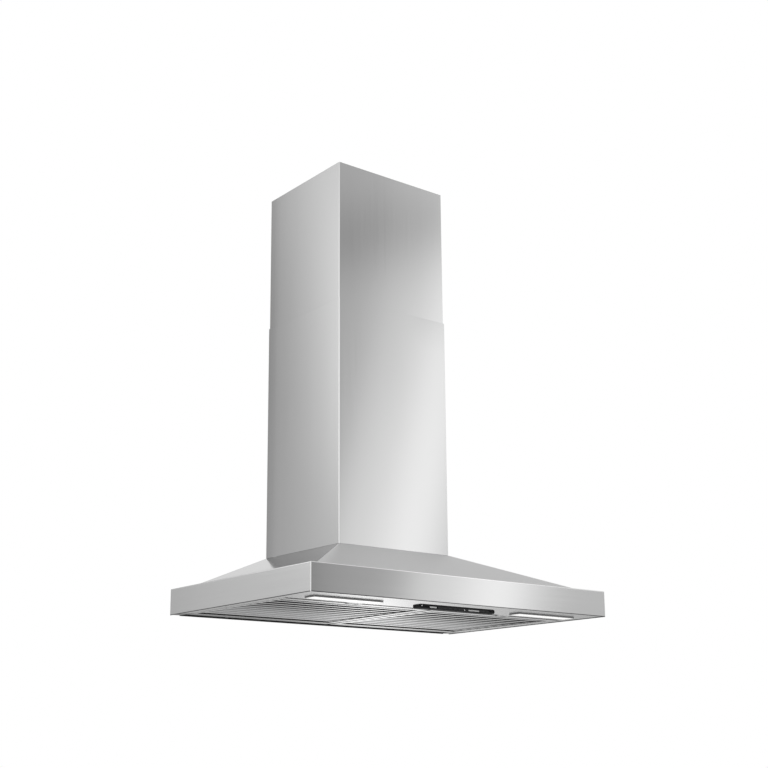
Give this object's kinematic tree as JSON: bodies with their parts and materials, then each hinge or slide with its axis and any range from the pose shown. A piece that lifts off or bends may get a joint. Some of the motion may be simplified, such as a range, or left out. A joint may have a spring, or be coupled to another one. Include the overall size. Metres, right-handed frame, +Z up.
{
  "type": "wall-mounted chimney range hood",
  "caption": "Wall-mounted chimney range hood with a hipped steel canopy, a telescoping chimney cover, baffle filters, light bars, a touch control bar, a blower and a non-return damper.",
  "frame": {"origin": "middle of the wall-facing side of the canopy's rear panel, 30 mm above the rim's bottom edge", "axes": "+X to the hood's own left-to-right as seen by someone facing it, +Y into the wall, +Z up"},
  "size_m": [0.76, 0.5, 0.982],
  "materials": {
    "steel": "fine vertical or lengthwise brushing",
    "steel_inner": "fine brushing, duller",
    "zinc": "galvanised, spangled",
    "alu": "rolled",
    "dark_plastic": "fine grained",
    "white_plastic": "satin",
    "lens": "opal, satin",
    "glass": "polished",
    "board": "soldermask",
    "white_board": "soldermask",
    "rubber": "matt",
    "black_metal": "satin enamel"
  },
  "bodies": {
    "hood": {"canopy_shell": "steel", "rear_panel": "zinc", "rear_edge_seal": "rubber", "bottom_pan": "steel", "lower_chimney_cover": "steel", "cover_wall_bracket": "zinc", "blower_box": "zinc", "scroll_housing": "dark_plastic", "inlet_ring_left": "dark_plastic", "inlet_ring_right": "dark_plastic", "motor": "black_metal", "motor_bracket": "zinc", "duct_collar": "zinc", "damper_rod": "steel_inner", "junction_box": "zinc", "junction_box_cover": "zinc", "cord_gland": "dark_plastic", "run_capacitor": "white_plastic", "capacitor_nut": "zinc", "control_bar": "glass", "control_housing": "dark_plastic", "control_board": "board", "light_driver": "white_plastic", "light_housing_left": "steel_inner", "light_housing_right": "steel_inner", "light_board_left": "white_board", "light_board_right": "white_board", "light_lens_left": "lens", "light_lens_right": "lens", "cover_screw_left": "zinc", "cover_screw_right": "zinc", "blower_screw_front_left": "zinc", "blower_screw_front_right": "zinc", "blower_screw_rear_left": "zinc", "blower_screw_rear_right": "zinc", "pan_screw_side_left": "steel_inner", "pan_screw_side_right": "steel_inner", "pan_screw_rear_left": "steel_inner", "pan_screw_rear_right": "steel_inner", "motor_cable": "rubber", "control_cable": "rubber", "light_cable_left": "rubber", "light_cable_right": "rubber", "driver_lead": "rubber"},
    "upper_cover": {"upper_chimney_cover": "steel"},
    "rotor": {"impeller": "alu", "motor_shaft": "steel_inner"},
    "flap_front": {"damper_flap_front": "alu"},
    "flap_rear": {"damper_flap_rear": "alu"},
    "filter_left": {"filter_frame_left": "steel", "baffle_lower_left": "steel", "baffle_upper_left": "steel_inner", "latch_spring_left": "steel_inner"},
    "filter_right": {"filter_frame_right": "steel", "baffle_lower_right": "steel", "baffle_upper_right": "steel_inner", "latch_spring_right": "steel_inner"},
    "latch_left": {"filter_latch_left": "steel_inner"},
    "latch_right": {"filter_latch_right": "steel_inner"}
  },
  "joints": [
    {"name": "upper_cover_slide", "type": "slide", "parent": "hood", "child": "upper_cover", "axis": [0, 0, 1], "range_m": [-0.24, 0.19]},
    {"name": "impeller_spin", "type": "hinge", "parent": "hood", "child": "rotor", "pos_m": [0, -0.152, 0.222], "axis": [1, 0, 0], "continuous": true},
    {"name": "flap_front_swing", "type": "hinge", "parent": "hood", "child": "flap_front", "pos_m": [0, -0.118, 0.398], "axis": [-1, 0, 0], "range_deg": [0, 80]},
    {"name": "flap_rear_swing", "type": "hinge", "parent": "hood", "child": "flap_rear", "pos_m": [0, -0.118, 0.398], "axis": [1, 0, 0], "range_deg": [0, 80]},
    {"name": "filter_left_swing", "type": "hinge", "parent": "hood", "child": "filter_left", "pos_m": [-0.18, -0.03, -0.023], "axis": [1, 0, 0], "range_deg": [0, 75]},
    {"name": "filter_right_swing", "type": "hinge", "parent": "hood", "child": "filter_right", "pos_m": [0.18, -0.03, -0.023], "axis": [1, 0, 0], "range_deg": [0, 75]},
    {"name": "latch_left_pull", "type": "slide", "parent": "filter_left", "child": "latch_left", "axis": [0, 1, 0], "range_m": [0, 0.005], "stiffness_N_per_m": 300, "springref_m": -0.004, "deforming": ["latch_spring_left"]},
    {"name": "latch_right_pull", "type": "slide", "parent": "filter_right", "child": "latch_right", "axis": [0, 1, 0], "range_m": [0, 0.005], "stiffness_N_per_m": 300, "springref_m": -0.004, "deforming": ["latch_spring_right"]}
  ]
}
